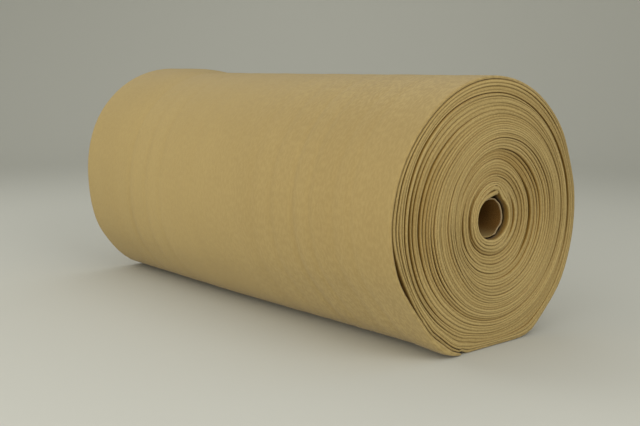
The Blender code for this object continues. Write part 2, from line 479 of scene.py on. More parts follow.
    def proud(self, depth: Array, angle: Array) -> Array:
        """Return how far a layer's folded edge stands out past the outer turn's."""
        known = [0.0] + [ring.turn for ring in self.rings]
        stand = np.interp(depth, known, [0.0] + [ring.proud for ring in self.rings])
        for sink in self.sinks:
            near = np.exp(-((depth - sink.turn) / sink.turns) ** 2)
            stand = stand - sink.depth * near * hump(angle, sink.middle, sink.half_width)
        return MM * stand

    def pressed(self, depth: Array, angle: Array) -> Array:
        """Return the share by which a layer's fold is pressed flat, which is most above and below the core."""
        upright = np.sin(np.radians(angle)) ** 2
        round_left = 1.0 - self.least_pressed - (self.most_pressed - self.least_pressed) * upright
        for press in self.presses:
            near = np.exp(-((depth - press.turn) / press.turns) ** 2)
            round_left = round_left * (1.0 - press.share * near * hump(angle, press.middle, press.half_width))
        return 1.0 - round_left

    def parted(self, depth: Array, angle: Array) -> Array:
        """Return the room in millimetres that the creases make outside a layer."""
        room = np.zeros_like(depth)
        for crease in self.creases:
            near = np.maximum(0.0, 1.0 - np.abs(depth - crease.turn) / self.crease_reach)
            room = room + crease.room * near * hump(angle, crease.middle, crease.half_width)
        return room

    def eased(self, angle: Array) -> Array:
        """Return the share of a crease's room that is left, which is all at the roll's own sides."""
        return self.pressed_room + (1.0 - self.pressed_room) * np.cos(np.radians(angle)) ** 2

    def opening(self, depth: Array, angle: Array) -> Array:
        """Return the room outside a layer."""
        loose = np.cos(np.pi * depth / 2.0) ** 2 * (0.6 + self.pairs.at(depth + angle / FULL_TURN))
        return (MM * self.parted(depth, angle) + self.pair_room * loose) * self.eased(angle)


def cloth_grid(name: str, points: Array, across: Array, along: Array, crease_shade: Array | None = None) -> bpy.types.Object:
    """Make a quad grid with its points placed by formula and the cloth's own measure as its UV map.

    Rows or columns whose points coincide are welded, and what is still open is filled.

    Args:
        name: The object's name.
        points: A point for each row and column.
        across: How far each point is across the cloth, in metres.
        along: How far each point is along the cloth, in metres.
        crease_shade: How far each point lies in an open crease, and on the outer turn how deep its troughs are, kept
            as a point attribute of the same name that the knit paints as shade.

    Returns:
        The object, smooth shaded, with its faces pointing out.
    """
    rows, columns = points.shape[:2]
    made = bmesh.new()
    bmesh.ops.create_grid(made, x_segments=columns - 1, y_segments=rows - 1, size=1.0)
    corners = np.array([vertex.co[:2] for vertex in made.verts])
    share = (corners / np.abs(corners).max(axis=0) + 1.0) / 2.0
    column = np.rint(share[:, 0] * (columns - 1)).astype(int)
    row = np.rint(share[:, 1] * (rows - 1)).astype(int)
    for vertex, place in zip(made.verts, points[row, column].tolist()):
        vertex.co = place
    if crease_shade is not None:
        kept = made.verts.layers.float.new("crease_shade")
        for vertex, share in zip(made.verts, crease_shade[row, column].tolist()):
            vertex[kept] = share
    measure = np.stack((across[row, column], along[row, column]), axis=-1).tolist()
    layer = made.loops.layers.uv.new("cloth")
    for face in made.faces:
        for loop in face.loops:
            loop[layer].uv = measure[loop.vert.index]
    bmesh.ops.remove_doubles(made, verts=made.verts, dist=WELD)
    bmesh.ops.holes_fill(made, edges=[edge for edge in made.edges if edge.is_boundary], sides=0)
    return finished(name, made)


def finished(name: str, made: bmesh.types.BMesh) -> bpy.types.Object:
    """Turn a bmesh into a linked, smooth shaded object with its faces pointing out."""
    bmesh.ops.recalc_face_normals(made, faces=made.faces)
    mesh = bpy.data.meshes.new(name)
    made.to_mesh(mesh)
    made.free()
    mesh.shade_smooth()
    piece = bpy.data.objects.new(name, mesh)
    bpy.context.scene.collection.objects.link(piece)
    return piece


def run_lengths(points: Array, axis: int) -> Array:
    """Return the distance run along one dimension of a grid of points, starting at 0."""
    steps = np.linalg.norm(np.diff(points, axis=axis), axis=-1)
    return np.insert(np.cumsum(steps, axis=axis), 0, 0.0, axis=axis)


def wear(piece: bpy.types.Object, material: bpy.types.Material) -> None:
    """Give a piece its material, and let it ride on the roll's body.

    Args:
        piece: The finished piece.
        material: What it is made of.
    """
    piece.data.materials.append(material)
    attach(piece, "root")
    LOG.info("%s: %d faces", piece.name, len(piece.data.polygons))


class Socket:
    """A node's output whose Python operators add Math nodes, for numbers that vary over a surface."""

    def __init__(self, graph: "Graph", output: bpy.types.NodeSocket) -> None:
        """Keep the output and the graph that it belongs to."""
        self.graph = graph
        self.output = output

    def math(self, operation: str, *others: Any, first: Any = None) -> "Socket":
        """Add a Math node.

        Args:
            operation: The node's operation.
            others: The values after the first one.
            first: What comes first instead of this socket.

        Returns:
            The node's value.
        """
        values = [self if first is None else first, *others]
        return self.graph.node("ShaderNodeMath", {"operation": operation}, dict(enumerate(values)))

    def __add__(self, other: Any) -> "Socket":
        """Return self + other."""
        return self.math("ADD", other)

    def __sub__(self, other: Any) -> "Socket":
        """Return self - other."""
        return self.math("SUBTRACT", other)

    def __rsub__(self, other: Any) -> "Socket":
        """Return other - self."""
        return self.math("SUBTRACT", self, first=other)

    def __mul__(self, other: Any) -> "Socket":
        """Return self * other."""
        return self.math("MULTIPLY", other)

    def __truediv__(self, other: Any) -> "Socket":
        """Return self / other."""
        return self.math("DIVIDE", other)

    def __pow__(self, other: Any) -> "Socket":
        """Return self to the power other."""
        return self.math("POWER", other)

    __radd__ = __add__
    __rmul__ = __mul__

    def rise(self, low: float, high: float) -> "Socket":
        """Return a smooth rise from 0 at low to 1 at high, or a fall where low is above high."""
        return self.graph.node("ShaderNodeMapRange", {"interpolation_type": "SMOOTHSTEP"},
                               {"Value": self, "From Min": low, "From Max": high})


class Graph:
    """The node tree of one new material, with its Principled shader."""

    def __init__(self, name: str) -> None:
        """Make the material and find its shader."""
        self.material = bpy.data.materials.new(name)
        self.material.use_nodes = True
        self.tree = self.material.node_tree
        self.shader = self.tree.nodes["Principled BSDF"]

    def feed(self, node: bpy.types.Node, inputs: dict[Any, Any]) -> None:
        """Set a node's inputs.

        Args:
            node: The node.
            inputs: For each input's name, identifier or place, a socket to link or a value to set.
        """
        known = {item.identifier: item for item in node.inputs}
        for key, value in inputs.items():
            target = known[key] if key in known else node.inputs[key]
            if isinstance(value, Socket):
                self.tree.links.new(value.output, target)
            else:
                target.default_value = value

    def node(self, kind: str, settings: dict[str, Any] | None = None, inputs: dict[Any, Any] | None = None,
             output: Any = 0) -> Socket:
        """Add a node.

        Args:
            kind: The node's type.
            settings: Its own properties, which are set first.
            inputs: What feeds its inputs.
            output: The name or place of the output to return.

        Returns:
            That output.
        """
        added = self.tree.nodes.new(kind)
        for key, value in (settings or {}).items():
            setattr(added, key, value)
        self.feed(added, inputs or {})
        known = {item.identifier: item for item in added.outputs}
        return Socket(self, known[output] if output in known else added.outputs[output])

    def mix(self, factor: Any, first: Any, second: Any, blend: str = "MIX") -> Socket:
        """Return two colours mixed by a factor."""
        return self.node("ShaderNodeMix", {"data_type": "RGBA", "blend_type": blend},
                         {"Factor_Float": factor, "A_Color": first, "B_Color": second}, "Result_Color")

    def noise(self, vector: Socket, scale: float, detail: float = 2.0) -> Socket:
        """Return noise from 0 to 1 at a scale in cycles a metre."""
        return self.node("ShaderNodeTexNoise", {}, {"Vector": vector, "Scale": scale, "Detail": detail})

    def parts(self, vector: Socket) -> tuple[Socket, Socket, Socket]:
        """Return a vector's three parts."""
        split = self.node("ShaderNodeSeparateXYZ", {}, {"Vector": vector}).output.node
        return tuple(Socket(self, output) for output in split.outputs)

    def joined(self, x: Any, y: Any, z: Any = 0.0) -> Socket:
        """Return a vector made of three parts."""
        return self.node("ShaderNodeCombineXYZ", {}, {"X": x, "Y": y, "Z": z})

    def bump(self, height: Socket, distance: float = 1.0) -> Socket:
        """Return a normal raised by a height in metres times a distance."""
        return self.node("ShaderNodeBump", {}, {"Height": height, "Distance": distance, "Strength": 1.0})


Colour = tuple[float, float, float, float]


@dataclass(frozen=True)
class KnitFinish:
    """Fine rib knit: columns of stitches in courses, with the yarn's fuzz and an uneven dye.

    A folded edge takes painted shade, a deep warm brown, on its sides where it goes in between the turns, by its inner
    share, where it stands back from the end and where it faces an open crease, and a painted highlight on its crest.
    The rib valleys, soft bands round the roll, the sides of its near half and its troughs are darkened by painted
    shade too.
    """

    name: str = "khaki_rib_knit"
    rib: float = 1.5 * MM
    course: float = 1.05 * MM
    slant: float = 0.42
    rib_height: float = 0.13 * MM
    stitch_height: float = 0.09 * MM
    fuzz_height: float = 0.05 * MM
    fuzz_scale: float = 2600.0
    crown: Colour = (0.495, 0.366, 0.146, 1.0)
    furrow: Colour = (0.335, 0.235, 0.088, 1.0)
    # A paler tone, for paler yarn and for the painted highlight on the folds' crests.
    worn_and_highlight: Colour = (0.550, 0.412, 0.170, 1.0)
    dull: Colour = (0.428, 0.312, 0.122, 1.0)
    roughness: float = 0.95
    sheen: float = 0.12
    sheen_roughness: float = 0.5
    # Painted shade colour for the folded edges between the turns, where they stand back and in open creases.
    inner: Colour = (0.270, 0.148, 0.022, 1.0)
    inner_share: float = 0.0
    inner_from: float = 1.2 * MM
    inner_to: float = 3.0 * MM
    # end_plane to recess_share: painted shade on folded edges that stand back from the end of the roll.
    end_plane: float = 250.0 * MM
    recess_from: float = 0.2 * MM
    recess_to: float = 4.5 * MM
    recess_share: float = 0.45
    # Painted shade share for the faces of open creases.
    crease_share: float = 0.85
    rib_start: float = 0.0
    patch_scale: float = 6.0
    patch_dark: float = 0.22
    # Painted highlight on the crests of the folded edges, in patches.
    crest_highlight: float = 0.75
    slub_scale: float = 430.0
    slub_stretch: float = 0.45
    slub_least: float = 0.10
    slub: float = 0.24
    # Where along the roll the slubs and the painted shade bands grow stronger.
    slub_and_band_along: tuple[float, float] = (-0.08, 0.20)
    band_least: float = 0.06
    # Painted shade over the roll's sides: a band between the bottom and the top, on the near half, darkened towards
    # the furrow colour.
    side_shade_along: tuple[float, float] = (-0.14, 0.20)
    side_shade_up: tuple[float, float] = (0.02, 0.10)
    side_shade_down: tuple[float, float] = (0.225, 0.185)
    side_shade_share: float = 0.50
    # Painted shade in the outer turn's troughs, broken up by noise.
    trough_shade_share: float = 0.38
    broken_scale: float = 22.0
    # band to band_drift, with band_least: painted shade in soft bands round the roll, where shallow ripples would fall
    # into shade.
    band: float = 0.16
    band_scale: float = 48.0
    band_lean: float = 0.09
    band_drift: float = 3.0

    def make(self) -> bpy.types.Material:
        """Build the material on the cloth's own UV map, in metres across and along it."""
        graph = Graph(self.name)
        cloth = graph.node("ShaderNodeTexCoord", {}, {}, "UV")
        across, along, _ = graph.parts(cloth)
        column = across / self.rib + self.rib_start
        side = (column.math("FRACT") - 0.5).math("ABSOLUTE") * 2.0
        crest = 1.0 - side * side
        courses = along / self.course + side * self.slant
        stitch = (courses * (2.0 * np.pi)).math("SINE") * 0.5 + 0.5
        place = graph.node("ShaderNodeTexCoord", {}, {}, "Object")
        fuzz = graph.noise(place, self.fuzz_scale, 3.0)
        fibre = graph.noise(graph.joined(across * 3.0, along), self.fuzz_scale / 3.0, 3.0)
        streak = graph.noise(graph.joined(column.math("FLOOR") * 7.31, along * 9.0), 1.0, 3.0)
        cloud = graph.noise(place, 14.0, 4.0)
        blotch = graph.noise(place, 180.0, 3.0)
        # Painted shade: the rib valleys and the gaps between stitches are darker than the crests.
        tone = graph.mix(crest * 0.62 + stitch * crest * 0.38, self.furrow, self.crown)
        tone = graph.mix((streak.rise(0.35, 0.75)) * 0.32, tone, self.dull)
        tone = graph.mix(cloud.rise(0.35, 0.70) * 0.14, tone, self.worn_and_highlight)
        tone = graph.mix((blotch.rise(0.40, 0.70)) * 0.26, tone, self.dull)
        tone = graph.mix(fuzz.rise(0.52, 0.72) * 0.22, tone, self.worn_and_highlight)
        x, y, up = graph.parts(place)
        # Painted shade: soft bands round the roll, leaning a little and stronger towards the near end.
        hoop = graph.joined((x + up * self.band_lean) * self.band_scale, y * self.band_drift, up * self.band_drift)
        forward = x.rise(*self.slub_and_band_along)
        tone = graph.mix(graph.noise(hoop, 1.0).rise(0.38, 0.62) * (forward * self.band + self.band_least),
                         tone, self.furrow)
        slub = graph.noise(graph.joined(across, along * self.slub_stretch), self.slub_scale, 3.0)
        grain = forward * self.slub + self.slub_least
        tone = graph.mix(slub.rise(0.45, 0.65) * grain, tone, self.furrow)
        tone = graph.mix(slub.rise(0.55, 0.35) * grain, tone, self.worn_and_highlight)
        # The attribute holds how far a point lies in an open crease, and on the outer turn in a trough, for painted
        # shade.
        crease_shade = graph.node("ShaderNodeAttribute", {"attribute_name": "crease_shade"}, {}, "Fac")
        if self.inner_share == 0.0:
            # Painted shade: the sides of the roll's near half, between the bottom and the top, are darker.
            side_shade = x.rise(*self.side_shade_along) * up.rise(*self.side_shade_up) * up.rise(*self.side_shade_down)
            tone = graph.mix(side_shade * self.side_shade_share, tone, self.furrow)
            # Painted shade in the troughs round the outer turn, from the attribute that holds their depth.
            broken = graph.noise(place, self.broken_scale).rise(0.30, 0.60) * 0.75 + 0.25
            tone = graph.mix(crease_shade * broken * self.trough_shade_share, tone, self.furrow)
        else:
            patch = graph.noise(graph.joined(along * self.patch_scale, 0.0), 1.0, 3.0)
            fold = across.math("ABSOLUTE")
            tone = graph.mix(patch.rise(0.58, 0.36) * self.patch_dark, tone, self.furrow)
            # Painted highlight: paler patches on the crests of the folded edges.
            tone = graph.mix(patch.rise(0.40, 0.62) * fold.rise(self.inner_from, 0.0) * self.crest_highlight,
                             tone, self.worn_and_highlight)
            # Painted shade: folded edges that stand back from the end of the roll are darker.
            recess = self.end_plane - x.math("ABSOLUTE")
            tone = graph.mix(recess.rise(self.recess_from, self.recess_to) * self.recess_share, tone, self.inner)
            # Painted shade: a folded edge darkens on its sides, away from its crest, where it goes in between the
            # turns.
            tone = graph.mix(fold.rise(self.inner_from, self.inner_to) * self.inner_share, tone, self.inner)
            # Painted shade: folded edges darken where they face an open crease.
            tone = graph.mix(crease_shade * self.crease_share, tone, self.inner)
        height = (crest * self.rib_height + stitch * crest * self.stitch_height
                  + fuzz * self.fuzz_height + fibre * (self.fuzz_height * 0.6))
        graph.feed(graph.shader, {"Base Color": tone, "Roughness": self.roughness,
                                  "Normal": graph.bump(height), "Sheen Weight": self.sheen,
                                  "Sheen Roughness": self.sheen_roughness,
                                  "Specular IOR Level": 0.15})
        return graph.material


@dataclass(frozen=True)
class CardFinish:
    """Spiral-wound brown card, paler along its cut rims, with painted shade deeper in the bore and a painted pool of
    light on the bore's floor near each mouth.
    """

    half_length: float
    name: str = "brown_card"
    brown: Colour = (0.240, 0.122, 0.029, 1.0)
    dark: Colour = (0.112, 0.050, 0.008, 1.0)
    # Painted light: a pale khaki pool on the floor of the bore near each mouth.
    lit_bottom: Colour = (0.420, 0.310, 0.125, 1.0)
    lit_bottom_place: float = 0.72
    lit_bottom_reach: float = 70.0 * MM
    shade_from: float = 12.0 * MM
    shade_to: float = 38.0 * MM
    shade: float = 0.85
    cut: Colour = (0.400, 0.300, 0.165, 1.0)
    seam_pitch: float = 76.0 * MM
    rim: float = 1.1 * MM
    roughness: float = 0.82

    def make(self, axis: Axis) -> bpy.types.Material:
        """Build the material.

        Args:
            axis: The core's axis, which the seam winds round.

        Returns:
            The material.
        """
        graph = Graph(self.name)
        place = graph.node("ShaderNodeTexCoord", {}, {}, "Object")
        x, _, _ = graph.parts(place)
        round_it, along, _ = graph.parts(graph.node("ShaderNodeTexCoord", {}, {}, "UV"))
        wound = (round_it + along / self.seam_pitch).math("FRACT")
        seam = (wound - 0.5).math("ABSOLUTE").rise(0.012, 0.0)
        fibres = graph.noise(graph.joined(round_it * 0.6, along * 5.0), 260.0, 4.0)
        speck = graph.noise(place, 1400.0, 3.0)
        tone = graph.mix(fibres.rise(0.35, 0.7), self.brown, self.dark)
        tone = graph.mix(seam * 0.75, tone, self.dark)
        off_bottom = (round_it - self.lit_bottom_place).math("ABSOLUTE")
        from_mouth = self.half_length - (x - axis.middle).math("ABSOLUTE")
        tone = graph.mix(from_mouth.rise(self.shade_from, self.shade_to) * self.shade, tone, self.dark)
        # Painted light: the floor of the bore is paler near each mouth.
        lit_bottom_share = off_bottom.rise(0.19, 0.05) * from_mouth.rise(self.lit_bottom_reach, 0.0) * 0.75
        tone = graph.mix(lit_bottom_share, tone, self.lit_bottom)
        past = (x - axis.middle).math("ABSOLUTE") - (self.half_length - self.rim)
        tone = graph.mix(past.rise(-0.5 * MM, 0.5 * MM) * (0.75 + 0.25 * speck), tone, self.cut)
        height = fibres * (0.05 * MM) + speck * (0.05 * MM) - seam * (0.12 * MM)
        graph.feed(graph.shader, {"Base Color": tone, "Roughness": self.roughness,
                                  "Normal": graph.bump(height), "Specular IOR Level": 0.2})
        return graph.material


@dataclass(frozen=True)
class PaperFinish:
    """Seamless pale grey backdrop paper, with painted shade making it a little darker where it curves up all round."""

    name: str = "pale_paper"
    floor: Colour = (0.585, 0.585, 0.53, 1.0)
    wall: Colour = (0.50, 0.50, 0.45, 1.0)
    dark: Colour = (0.30, 0.30, 0.27, 1.0)
    wall_shade_start: float = 0.7
    wall_shade_end: float = 1.4
    roughness: float = 0.9

    def make(self) -> bpy.types.Material:
        """Build the material on the distance from the middle of the floor."""
        graph = Graph(self.name)
        place = graph.node("ShaderNodeTexCoord", {}, {}, "Object")
        x, y, _ = graph.parts(place)
        out = (x * x + y * y) ** 0.5
        grain = graph.noise(place, 900.0, 2.0)
        # Painted shade: the paper darkens outwards from the middle of the floor towards the curved wall.
        tone = graph.mix(out.rise(self.wall_shade_start, self.wall_shade_end), self.floor, self.wall)
        tone = graph.mix(grain * 0.03, tone, self.dark)
        graph.feed(graph.shader, {"Base Color": tone, "Roughness": self.roughness,
                                  "Normal": graph.bump(grain, 0.02 * MM), "Specular IOR Level": 0.1})
        return graph.material


@dataclass(frozen=True)
class OuterTurn:
    """The outermost turn with its free end: a doubled sheet, folded at both edges and cut at its tip."""

    winding: Winding
    finish: KnitFinish
    name: str = "outer_turn"
    tucked: float = 30.0
    step: float = 4.5
    fine_step: float = 1.15
    step_ends: float = -101.0
    relief: float = 0.20 * MM
    shoulders: tuple[float, float] = (0.27, 0.73)
    nose_points: int = 8
    inner_points: int = 25
    overhang: float = 2.5 * MM
    overhang_start: float = 205.0
    tip_rows: tuple[tuple[float, float], ...] = ((0.28, 0.90), (0.42, 0.62), (0.22, 0.30), (-0.55, 0.07))
    edge: Drift = Drift(((0.25, 2.0, 0.15), (0.15, 5.0, 0.6), (0.08, 11.0, 0.35)))

    def section(self) -> tuple[Array, Array, Array, Array]:
        """Lay out the sheet's section, from its far edge along the outer side and back along the inner.

        Returns:
            The place along the roll, the depth below the outer side, the measure across the cloth and the
            share by which each point goes out with the folded edge that it is on.
        """
        half = self.winding.shape.length / 2.0
        pitch = self.finish.rib
        ribs = int(2.0 * (half - self.winding.sheet / 2.0) / pitch)
        shoulder = ribs * pitch / 2.0
        starts = np.arange(ribs)[:, None] * pitch - shoulder
        outer = np.append((starts + pitch * np.array((0.0, *self.shoulders))).ravel(), shoulder)
        dips = np.append(np.tile((self.relief, 0.0, 0.0), ribs), self.relief)
        bend = np.linspace(0.0, np.pi, self.nose_points + 1)[1:-1]
        nose = shoulder + (half - shoulder) * np.sin(bend)
        under = self.winding.sheet * (1.0 - np.cos(bend)) / 2.0
        inner = np.linspace(shoulder, -shoulder, self.inner_points)
        x = np.concatenate((outer, nose, inner, -nose, outer[:1]))
        depth = np.concatenate((dips, under, np.full(inner.shape, self.winding.sheet), under[::-1], dips[:1]))
        fold = self.winding.sheet * np.pi / 2.0
        turned = shoulder + fold * bend / np.pi
        across = np.concatenate((outer, turned, shoulder + fold + (shoulder - inner),
                                 3.0 * shoulder + fold + fold * bend / np.pi, [3.0 * shoulder + 2.0 * fold]))
        swing = np.concatenate((0.0 * outer, np.sin(bend), 0.0 * inner, -np.sin(bend), [0.0]))
        return x, depth, across, swing

    def rows(self) -> tuple[Array, Array]:
        """Lay out the rows from the tucked end to the tip.

        Returns:
            The angle of each row, and the share of the sheet's thickness that is left there.
        """
        tip = self.winding.tip
        under = tip - FULL_TURN
        tucked = np.linspace(under - self.tucked, under, int(self.tucked / self.step) + 1)[:-1]
        climb = np.arange(under, self.step_ends, self.fine_step)
        turn = np.linspace(self.step_ends, tip, round((tip - self.step_ends) / self.step))
        lips = np.array([tip + step - self.tip_rows[1][0] for step, _ in self.tip_rows])
        angles = np.concatenate((tucked, climb, turn[:-1], [tip - 1.1], lips))
        left = np.ones_like(angles)
        left[-len(lips):] = [share for _, share in self.tip_rows]
        return angles, left

    def build(self, axis: Axis) -> bpy.types.Object:
        """Build the sheet round the axis."""
        x, depth, across, swing = self.section()
        angles, left = self.rows()
        turns = (self.winding.tip - angles) / FULL_TURN
        sunk = self.winding.depth(turns)[:, None]
        angle = angles[:, None]
        shoulder = self.winding.shape.length / 2.0 - self.winding.sheet / 2.0
        surface = self.winding.shape.radius(angle, np.clip(x, -shoulder, shoulder)[None, :])
        over = self.winding.thickness(angle, x[None, :])
        surface = surface - sunk * (over + self.winding.gap(angle))
        thickness = np.where(angle < self.winding.tip - FULL_TURN, self.winding.sheet, over)
        share = depth[None, :] / self.winding.sheet
        radius = surface - thickness * (0.5 + (share - 0.5) * left[:, None])
        out = self.overhang * smoothstep((angle - self.overhang_start) / (self.winding.tip - self.overhang_start))
        edge = MM * self.edge.at(angle / FULL_TURN) * smoothstep((np.abs(x)[None, :] - 0.2) / 0.05)
        swollen = swing[None, :] * (thickness - self.winding.sheet) / 2.0
        points = axis.points(x[None, :] + out + edge + swollen, angle, radius)
        along = run_lengths(points[:, len(x) // 2], 0)[:, None]
        # The troughs' depth goes to the attribute that the knit paints as shade.
        hollow = self.winding.shape.hollow(angle, x[None, :])
        piece = cloth_grid(self.name, points, *np.broadcast_arrays(across[None, :], along, hollow))
        LOG.info("outer turn: %.3f m of cloth", along[-1, 0])
        return piece


@dataclass(frozen=True)
class EndTurns:
    """The folded edges of the inner turns at one end, as one long strip that spirals in to the core."""

    winding: Winding
    end: End
    name: str
    tucked: float = 0.08
    step: float = 3.4 * MM
    least_radius: float = 17.0 * MM
    deep: float = 9.0 * MM
    nose_points: int = 9
    nose_depth: float = 0.55
    nose_power: float = 2.2
    crease_depth: float = 0.3
    crease_share: float = 0.7
    crease_power: float = 3.2
    thickest: float = 3.9 * MM
    thickest_inside: float = 3.6 * MM
    inside: float = 38.6
    clearance: float = 0.03 * MM
    most_open: float = 0.4
    cut_rows: tuple[tuple[float, float], ...] = ((-0.6, 0.92), (0.0, 0.62), (-0.5, 0.30), (-4.0, 0.06))
    stand: Drift = Drift(((0.34, 0.137, 0.10), (0.30, 0.371, 0.35), (0.24, 0.829, 0.80), (0.15, 1.713, 0.20),
                          (0.08, 3.190, 0.55), (0.05, 7.370, 0.15)))
    tightness: Drift = Drift(((0.10, 0.463, 0.30), (0.08, 0.918, 0.05), (0.05, 2.310, 0.70)))
    sway: Drift = Drift(((0.10, 5.0, 0.2), (0.06, 11.0, 0.7), (0.05, 17.0, 0.4)))

    def places(self) -> Array:
        """Return the turns inside the tip at each step, from the outer start to the end on the core."""
        place = 1.0 + self.tucked
        found = []
        winding = self.winding
        outer = winding.shape.near_outline.above * MM
        pitch = outer / (winding.rings[-1].turn + 5.0)
        while place < winding.last:
            found.append(place)
            radius = max(outer - pitch * place, self.least_radius)
            place += self.step / (2.0 * np.pi * radius)
        return np.array([*found, winding.last])

    def sides(self, turns: Array) -> tuple[Array, Array]:
        """Find where the layer's two sides are.

        Args:
            turns: Turns inside the tip.

        Returns:
            The radii of its outer and inner side.
        """
        winding = self.winding
        angle = winding.angle(turns)
        depth = winding.depth(turns)
        below = np.where(turns + 1.0 <= winding.last, winding.depth(turns + 1.0), winding.rings[-1].turn)
        slack = self.tightness.at(turns)
        slack_below = self.tightness.at(turns + 1.0)
        shift = smoothstep((depth - 1.0) / 2.0) * smoothstep((winding.rings[-1].turn - 2.0 - depth) / 2.0)
        shift_below = smoothstep((below - 1.0) / 2.0) * smoothstep((winding.rings[-1].turn - 2.0 - below) / 2.0)
        outer = winding.radius(depth + slack * shift, angle, self.end) - self.clearance
        inner = winding.radius(below + slack_below * shift_below, angle, self.end) + self.clearance
        most = self.most_open * (outer - inner)
        outer = outer - np.minimum(winding.opening(depth, angle) / 2.0, most)
        inner = inner + np.minimum(winding.opening(below, angle) / 2.0, most)
        cap = np.where(depth > self.inside, self.thickest_inside, self.thickest)
        return outer, np.maximum(inner, outer - cap)

    def build(self, axis: Axis) -> bpy.types.Object:
        """Build the strip round the axis."""
        winding = self.winding
        turns = self.places()
        outer, inner = self.sides(turns)
        angle = winding.angle(turns)
        left = np.ones_like(turns)
        last = len(self.cut_rows)
        turns = np.append(turns, np.repeat(turns[-1], last))
        angle = np.append(angle, [angle[-1] + step for step, _ in self.cut_rows])
        left = np.append(left, [share for _, share in self.cut_rows])
        outer, inner = (np.append(side, np.repeat(side[-1], last)) for side in (outer, inner))

        bend = np.sin(np.linspace(-np.pi / 2.0, np.pi / 2.0, self.nose_points))
        back = 1.0 - (1.0 - np.abs(bend) ** self.nose_power) ** (1.0 / self.nose_power)
        side = np.concatenate(([-1.0], bend, [1.0, -1.0]))
        thick = (outer - inner)[:, None]
        open_outside, open_inside = (np.clip(winding.parted(winding.depth(place), angle) / winding.wide_open, 0.0, 1.0)
                                     for place in (turns, turns + 1.0))
        # How open the crease is on each side of the fold; it bends the fold and, below, masks the painted shade.
        crease_shade = np.where(side > 0.0, open_outside[:, None], open_inside[:, None])
        flat = winding.pressed(winding.depth(turns), angle)[:, None] * (1.0 - self.crease_share * crease_shade)
        rounding = self.nose_depth * (1.0 - flat) + self.crease_depth * crease_shade * winding.eased(angle)[:, None]
        drop = np.concatenate(([0.0], back, [0.0, 0.0]))[None, :] * thick * rounding
        drop[:, [0, -2, -1]] = self.deep
        # The mask of painted shade in open creases, strongest on the fold's sides.
        crease_shade = crease_shade * np.abs(side) ** self.crease_power
        stand = winding.proud(winding.depth(turns), angle) + MM * self.stand.at(turns)
        x = winding.shape.length / 2.0 + stand[:, None] - drop
        sway = MM * self.sway.at(angle / FULL_TURN) * smoothstep((winding.depth(turns) - 1.0) / 3.0)
        middle = ((outer + inner) / 2.0 + sway)[:, None]
        points = axis.points(self.end.value * x, angle[:, None], middle + side[None, :] * thick * left[:, None] / 2.0)
        across = run_lengths(points, 1)
        across = across - across[:, [1 + self.nose_points // 2]]
        along = run_lengths(points[:, 1 + self.nose_points // 2], 0)[:, None]
        piece = cloth_grid(self.name, points, across, np.broadcast_to(along, across.shape), crease_shade)
        LOG.info("%s: %.2f m of cloth", self.name, along[-1, 0])
        return piece


@dataclass(frozen=True)
class CardCore:
    """The card tube, with soft rims and a near rim that is a little crushed."""

    name: str = "card_core"
    bore: float = 32.0 * MM
    wall: float = 1.6 * MM
    length: float = 495.0 * MM
    sides: int = 144
    wall_rows: int = 24
    rim_rows: int = 6
    dents: tuple[tuple[float, float, float], ...] = ((-42.0, 24.0, 1.5), (-66.0, 12.0, 0.5), (20.0, 30.0, 0.3),
                                                     (66.0, 14.0, -0.4), (100.0, 20.0, 0.3))
    dent_reach: float = 12.0 * MM
    thinned: float = 0.55 * MM
    thinned_reach: float = 4.0 * MM
    torn: float = 4.0 * MM
    torn_middle: float = -96.0
    torn_half: float = 42.0
    ragged: Drift = Drift(((0.22, 3.0, 0.1), (0.14, 7.0, 0.5), (0.10, 17.0, 0.3), (0.05, 31.0, 0.8)))

    def build(self, axis: Axis) -> bpy.types.Object:
        """Build the tube round the axis."""
        half = self.length / 2.0
        inner = self.bore / 2.0
        bend = np.linspace(0.0, np.pi, self.rim_rows + 2)[1:-1]
        rim_x = half - self.wall / 2.0 * (1.0 - np.sin(bend) ** 0.6)
        rim_radius = inner + self.wall * (1.0 - np.cos(bend)) / 2.0
        wall_x = (half - self.wall / 2.0) * np.sin(np.linspace(-np.pi / 2.0, np.pi / 2.0, self.wall_rows))
        x = np.concatenate((wall_x, rim_x, wall_x[::-1], -rim_x, wall_x[:1]))
        radius = np.concatenate((np.full(self.wall_rows, inner), rim_radius,
                                 np.full(self.wall_rows, inner + self.wall), rim_radius[::-1], [inner]))
        angle = np.linspace(0.0, FULL_TURN, self.sides + 1)[None, :]
        dent = sum(depth * hump(angle, middle, half_width) for middle, half_width, depth in self.dents)
        near = smoothstep(1.0 - (half - np.abs(x)) / self.dent_reach)[:, None]
        edge = MM * self.ragged.at(angle / FULL_TURN) * near * np.sign(x)[:, None]
        edge = edge - self.torn * hump(angle, self.torn_middle, self.torn_half) * near * (x > 0.0)[:, None]
        pinch = self.thinned * smoothstep(1.0 - (half - np.abs(x)) / self.thinned_reach) * (radius > inner + WELD)
        radius = radius - pinch * (radius - inner) / self.wall
        points = axis.points(x[:, None] + edge, angle, radius[:, None] - MM * dent * near)
        points[:, -1] = points[:, 0]
        along = np.broadcast_to(x[:, None], points.shape[:2])
        return cloth_grid(self.name, points, np.broadcast_to(angle / FULL_TURN, points.shape[:2]), along)


@dataclass(frozen=True)
class SoftLight:
    """An area light: its place, the point that it faces, its size and its power."""

    name: str
    place: tuple[float, float, float]
    aim: tuple[float, float, float]
    size: tuple[float, float]
    power: float

    def add(self, colour: tuple[float, float, float]) -> None:
        """Add the light to the scene in a colour."""
        lamp = bpy.data.lights.new(self.name, "AREA")
        lamp.shape = "RECTANGLE"
        lamp.size, lamp.size_y = self.size
        lamp.energy = self.power
        lamp.color = colour
        holder = bpy.data.objects.new(self.name, lamp)
        holder.location = self.place
        holder.rotation_euler = (Vector(self.aim) - Vector(self.place)).to_track_quat("-Z", "Y").to_euler()
        holder.visible_camera = False
        bpy.context.scene.collection.objects.link(holder)


